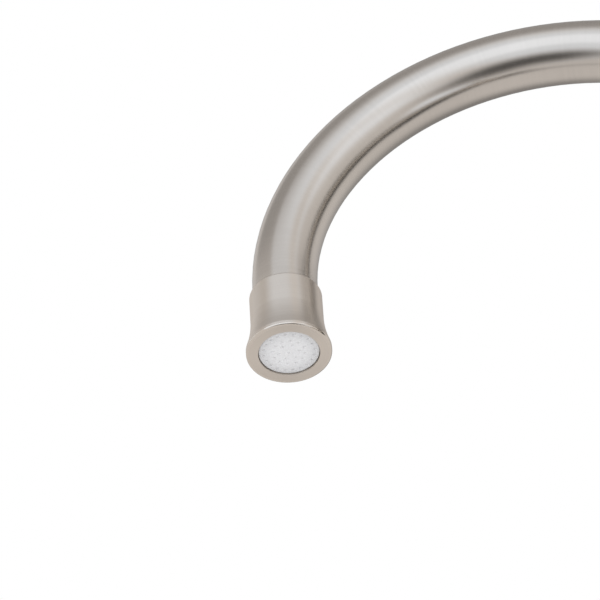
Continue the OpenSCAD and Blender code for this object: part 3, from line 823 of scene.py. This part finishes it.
class FAUCET_OT_handle(FaucetOperator):
    """Brush the handle's hub and lever, and finish its screw"""

    bl_idname = "faucet.handle"
    bl_label = "Handle"

    def execute(self, context):
        valve = (0, 0, middle("valve_stem").z)
        finish_nodes(nickel_around("brushed_hub", valve, "X", HUB_GRAIN), "handle_hub")
        lever = middle("lever")
        finish_nodes(nickel_around("brushed_lever", (lever.x, lever.y, 0), "Z", LEVER_GRAIN),
                     "lever")
        steel = turned("steel_screw", context.scene.faucet_metal.steel, middle("set_screw"), "Z",
                       roughness=0.3, ridge=0.2 * MM, depth=0.001 * MM)
        finish_nodes(steel, "set_screw")
        return {"FINISHED"}


class FAUCET_OT_index_button(FaucetOperator):
    """Make the domed hot water mark in the hub's face"""

    bl_idname = "faucet.index_button"
    bl_label = "Index Button"

    def execute(self, context):
        low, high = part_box("index_button")
        centre, radius = (low + high) / 2, (high.y - low.y) / 2
        profile = [(radius, low.x), (radius, high.x - BUTTON_RISE)]
        for k in range(1, DOME_STEPS):
            turn = TURN / 4 * k / DOME_STEPS
            profile.append((radius * math.cos(turn), high.x - BUTTON_RISE * (1 - math.sin(turn))))
        work = bmesh.new()
        rings = skin(work, [[(x, y, z) for y, z, x in round_row(r, level, BUTTON_STEPS, centre.y,
                                                                centre.z)]
                            for r, level in profile])
        for x, ring in ((low.x, rings[0]), (high.x, rings[-1])):
            tip = work.verts.new((x, centre.y, centre.z))
            for a, b in zip(ring, ring[1:] + ring[:1]):
                work.faces.new((a, b, tip))
        material = moulded("red_button", context.scene.faucet_plastic.button, roughness=0.22,
                           grain=900.0, depth=0.002 * MM, Coat_Weight=0.5, Coat_Roughness=0.08)
        mesh = close_mesh("domed_button", work, material)
        piece = new_object("domed_button", mesh, "handle")
        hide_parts("index_button")
        return {"FINISHED"}


class FAUCET_OT_valve(FaucetOperator):
    """Finish the valve's cartridge, stem, nut and ceramic discs, and the spout's ferrule"""

    bl_idname = "faucet.valve"
    bl_label = "Valve"

    def execute(self, context):
        brass = context.scene.faucet_metal.brass
        cut = {"roughness": 0.26, "ridge": 0.25 * MM, "depth": 0.003 * MM}
        valve = (0, 0, middle("valve_stem").z)
        finish_nodes(turned("turned_valve_brass", brass, valve, "X", **cut),
                     "valve_cartridge", "valve_stem", "bonnet_nut")
        finish_nodes(turned("turned_ferrule", brass, ORIGIN, "Z", **cut), "spout_ferrule")
        ceramic = moulded("ground_ceramic", context.scene.faucet_plastic.ceramic, roughness=0.18,
                          grain=2600.0, depth=0.001 * MM, Coat_Weight=0.3)
        finish_nodes(ceramic, "fixed_disc", "moving_disc")
        return {"FINISHED"}


class FAUCET_OT_seals(FaucetOperator):
    """Finish the O-rings, gaskets and seals"""

    bl_idname = "faucet.seals"
    bl_label = "Seals"

    def execute(self, context):
        rubber = moulded("black_rubber", context.scene.faucet_plastic.rubber, roughness=0.62,
                         grain=1500.0, depth=0.02 * MM)
        finish_nodes(rubber, "base_seal", "clamp_gasket", "valve_seal", "cartridge_o_ring",
                     "stem_o_ring", "spout_o_rings", "outlet_gasket")
        return {"FINISHED"}


class FAUCET_OT_shank(FaucetOperator):
    """Make the threaded shank below the deck"""

    bl_idname = "faucet.shank"
    bl_label = "Shank"

    def execute(self, context):
        thread = context.scene.faucet_thread
        low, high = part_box("mounting_shank")
        crest = high.x
        core, bore = crest - thread.depth, crest - SHANK_WALL
        start, end = low.z + thread.lead, -thread.plain_length - thread.pitch
        bevel = thread.lead / 2
        work = bmesh.new()
        cut_thread(work, start, end, core, crest, thread.pitch)
        skin(work, [round_row(r, z, THREAD_STEPS) for r, z in (
            (core, start), (core - thread.lead, low.z), (bore + bevel, low.z),
            (bore, low.z + bevel), (bore, high.z), (crest, high.z), (crest, end + thread.depth),
            (core, end))])
        material = turned("threaded_brass", context.scene.faucet_metal.brass, ORIGIN, "Z",
                          roughness=0.3, ridge=0.3 * MM, depth=0.004 * MM)
        mesh = close_mesh("threaded_shank", work, material)
        piece = new_object("threaded_shank", mesh, "body")
        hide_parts("mounting_shank")
        return {"FINISHED"}


class FAUCET_OT_nut(FaucetOperator):
    """Make the hexagon nut, its corners turned down at both faces"""

    bl_idname = "faucet.nut"
    bl_label = "Mounting Nut"

    def execute(self, context):
        thread = context.scene.faucet_thread
        low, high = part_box("mounting_nut")
        flat = min(high.x, high.y)
        face = flat * NUT_FACE
        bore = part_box("mounting_shank")[1].x + NUT_PLAY
        lead = thread.lead
        turn = TURN / 12 if high.y > high.x else 0.0

        def across(angle):
            return flat / math.cos((angle + turn) % (TURN / 6) - TURN / 12)

        def slope(angle):
            return (across(angle) - face) * math.tan(thread.nut_bevel)

        work = bmesh.new()
        skin(work, [round_row(r, z, THREAD_STEPS) for r, z in (
            (bore, low.z + lead), (bore + lead, low.z), (face, low.z),
            (across, lambda angle: low.z + slope(angle)),
            (across, lambda angle: high.z - slope(angle)),
            (face, high.z), (bore + lead, high.z), (bore, high.z - lead), (bore, low.z + lead))])
        material = turned("faced_brass", context.scene.faucet_metal.brass, ORIGIN, "Z",
                          roughness=0.28, ridge=0.3 * MM, depth=0.004 * MM)
        mesh = close_mesh("bevelled_nut", work, material, sharp=20)
        piece = new_object("bevelled_nut", mesh, "body")
        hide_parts("mounting_nut")
        return {"FINISHED"}


class FAUCET_OT_mounting(FaucetOperator):
    """Finish the clamp's washer and the three supply tubes"""

    bl_idname = "faucet.mounting"
    bl_label = "Mounting"

    def execute(self, context):
        metal = context.scene.faucet_metal
        finish_nodes(turned("rolled_washer", metal.steel, ORIGIN, "Z", roughness=0.32,
                            ridge=0.4 * MM, depth=0.003 * MM), "clamp_washer")
        for name in ("cold_inlet_tube", "tank_feed_tube", "hot_return_tube"):
            finish_nodes(turned("drawn_" + name, metal.copper, middle(name), "Z", roughness=0.3,
                                ridge=0.6 * MM, depth=0.002 * MM), name)
        return {"FINISHED"}


class FAUCET_OT_studio(FaucetOperator):
    """Set up the floor, the light and the camera"""

    bl_idname = "faucet.studio"
    bl_label = "Studio"

    def execute(self, context):
        studio = context.scene.faucet_studio
        self.make_floor(context.scene, studio)
        self.make_world(context.scene, studio)
        self.make_lamps(context.scene, studio)
        self.make_camera(context.scene, studio)
        context.scene.view_settings.view_transform = "Standard"
        return {"FINISHED"}

    def make_floor(self, scene, studio):
        """A round pale floor under the faucet, clear from below."""
        mesh = bpy.data.meshes.new("floor")
        work = bmesh.new()
        bmesh.ops.create_circle(work, cap_ends=True, radius=FLOOR_RADIUS, segments=FLOOR_STEPS)
        work.to_mesh(mesh)
        work.free()
        floor = bpy.data.objects.new("floor", mesh)
        floor.location = (0, 0, CAD_BOX[0].z - studio.floor_gap)
        scene.collection.objects.link(floor)
        floor.visible_glossy = False
        floor.visible_shadow = False
        shader = Shader("pale_floor")
        seen = shader.add("ShaderNodeLightPath").outputs["Is Camera Ray"]
        tones = [(tone, tone, tone) for tone in FLOOR_TONES]
        shader.set(
            Base_Color=shader.tint(shader.noise(shader.spot(), scale=3.0), *tones),
            Roughness=0.9,
            Specular_IOR_Level=0.0,
            Emission_Color=(1, 1, 1, 1),
            Emission_Strength=shader.math("MULTIPLY", seen, studio.floor_glow),
        )
        below = shader.add("ShaderNodeNewGeometry").outputs["Backfacing"]
        clear = shader.add("ShaderNodeBsdfTransparent").outputs[0]
        either = shader.add("ShaderNodeMixShader", i0=below, i1=shader.principled.outputs[0],
                            i2=clear)
        shader.feed(shader.tree.nodes["Material Output"].inputs["Surface"], either.outputs[0])
        mesh.materials.append(shader.material)

    def make_world(self, scene, studio):
        """Soft light from all round, bright panels, and dark flags between the panels."""
        scene.world = bpy.data.worlds.new("studio")
        scene.world.use_nodes = True
        light = WorldLight(scene.world.node_tree)
        level = light.mix(light.above(*TOP_EDGE), studio.side_light, studio.top_light)
        cool = 0.0
        for kind, around, height, soft, lean, value in LIGHT_PANELS:
            mask = light.window(around, height, soft, lean)
            level = light.mix(mask, level, value)
            cool = light.mix(mask, cool, 1.0 if kind == "panel" else 0.0)
        level = light.mix(light.strip(), level, 0.0)
        seen = light.add("ShaderNodeLightPath").outputs["Is Camera Ray"]
        tint = light.tint(cool, studio.side_tint, studio.panel_tint)
        background = light.tree.nodes["Background"].inputs
        light.feed(background["Color"], light.mix(seen, tint, (1, 1, 1, 1), "RGBA"))
        light.feed(background["Strength"], light.mix(seen, level, 1.0))

    def make_lamps(self, scene, studio):
        """A soft lamp above, which gives the floor's shadow, and a soft fill from below."""
        for name, strength, spread, way in (
                ("lamp_above", studio.lamp_strength, studio.lamp_spread, LAMP_WAY),
                ("lamp_fill", studio.fill_strength, math.pi / 2, FILL_WAY)):
            data = bpy.data.lights.new(name, "SUN")
            data.energy = strength
            data.angle = spread
            lamp = bpy.data.objects.new(name, data)
            lamp.rotation_mode = "QUATERNION"
            lamp.rotation_quaternion = Vector(way).to_track_quat("-Z", "Y")
            lamp.visible_glossy = False
            scene.collection.objects.link(lamp)

    def make_camera(self, scene, studio):
        """The camera, a little below the spout and to the lever's side."""
        data = bpy.data.cameras.new("camera")
        data.lens = studio.camera_lens
        data.sensor_width = SENSOR_WIDTH
        data.clip_start, data.clip_end = CAMERA_CLIP
        camera = bpy.data.objects.new("camera", data)
        around, up = studio.camera_azimuth, studio.camera_elevation
        ahead = Vector((-math.sin(around) * math.cos(up), math.cos(around) * math.cos(up),
                        -math.sin(up)))
        roll = Quaternion((0, 0, 1), studio.camera_roll)
        camera.rotation_mode = "QUATERNION"
        camera.rotation_quaternion = ahead.to_track_quat("-Z", "Y") @ roll
        camera.location = studio.camera_place
        scene.collection.objects.link(camera)
        scene.camera = camera


STEPS = (
    FAUCET_OT_spout, FAUCET_OT_spray_insert, FAUCET_OT_outlet_parts, FAUCET_OT_column,
    FAUCET_OT_handle, FAUCET_OT_index_button, FAUCET_OT_valve, FAUCET_OT_seals, FAUCET_OT_shank,
    FAUCET_OT_nut, FAUCET_OT_mounting, FAUCET_OT_studio,
)
SETTINGS = {
    "faucet_metal": FaucetMetalSettings,
    "faucet_plastic": FaucetPlasticSettings,
    "faucet_thread": FaucetThreadSettings,
    "faucet_insert": FaucetInsertSettings,
    "faucet_studio": FaucetStudioSettings,
}


class FAUCET_PT_dresser(bpy.types.Panel):
    """Lists the settings and the steps that finish the faucet."""

    bl_idname = "FAUCET_PT_dresser"
    bl_label = "Hot Water Faucet"
    bl_space_type = "VIEW_3D"
    bl_region_type = "UI"
    bl_category = "Faucet"

    def draw(self, context):
        for group in SETTINGS:
            box = self.layout.box()
            settings = getattr(context.scene, group)
            for name in settings.__annotations__:
                box.prop(settings, name)
        for step in STEPS:
            self.layout.operator(step.bl_idname)


def register():
    for group, settings in SETTINGS.items():
        bpy.utils.register_class(settings)
        setattr(bpy.types.Scene, group, bpy.props.PointerProperty(type=settings))
    for step in STEPS:
        bpy.utils.register_class(step)
    bpy.utils.register_class(FAUCET_PT_dresser)


def unregister():
    bpy.utils.unregister_class(FAUCET_PT_dresser)
    for step in reversed(STEPS):
        bpy.utils.unregister_class(step)
    for group, settings in reversed(SETTINGS.items()):
        delattr(bpy.types.Scene, group)
        bpy.utils.unregister_class(settings)


def main():
    """Dresses the faucet."""
    register()
    for step in STEPS:
        space, name = step.bl_idname.split(".")
        getattr(getattr(bpy.ops, space), name)()
    bpy.context.view_layer.update()


if __name__ == "__main__":
    main()
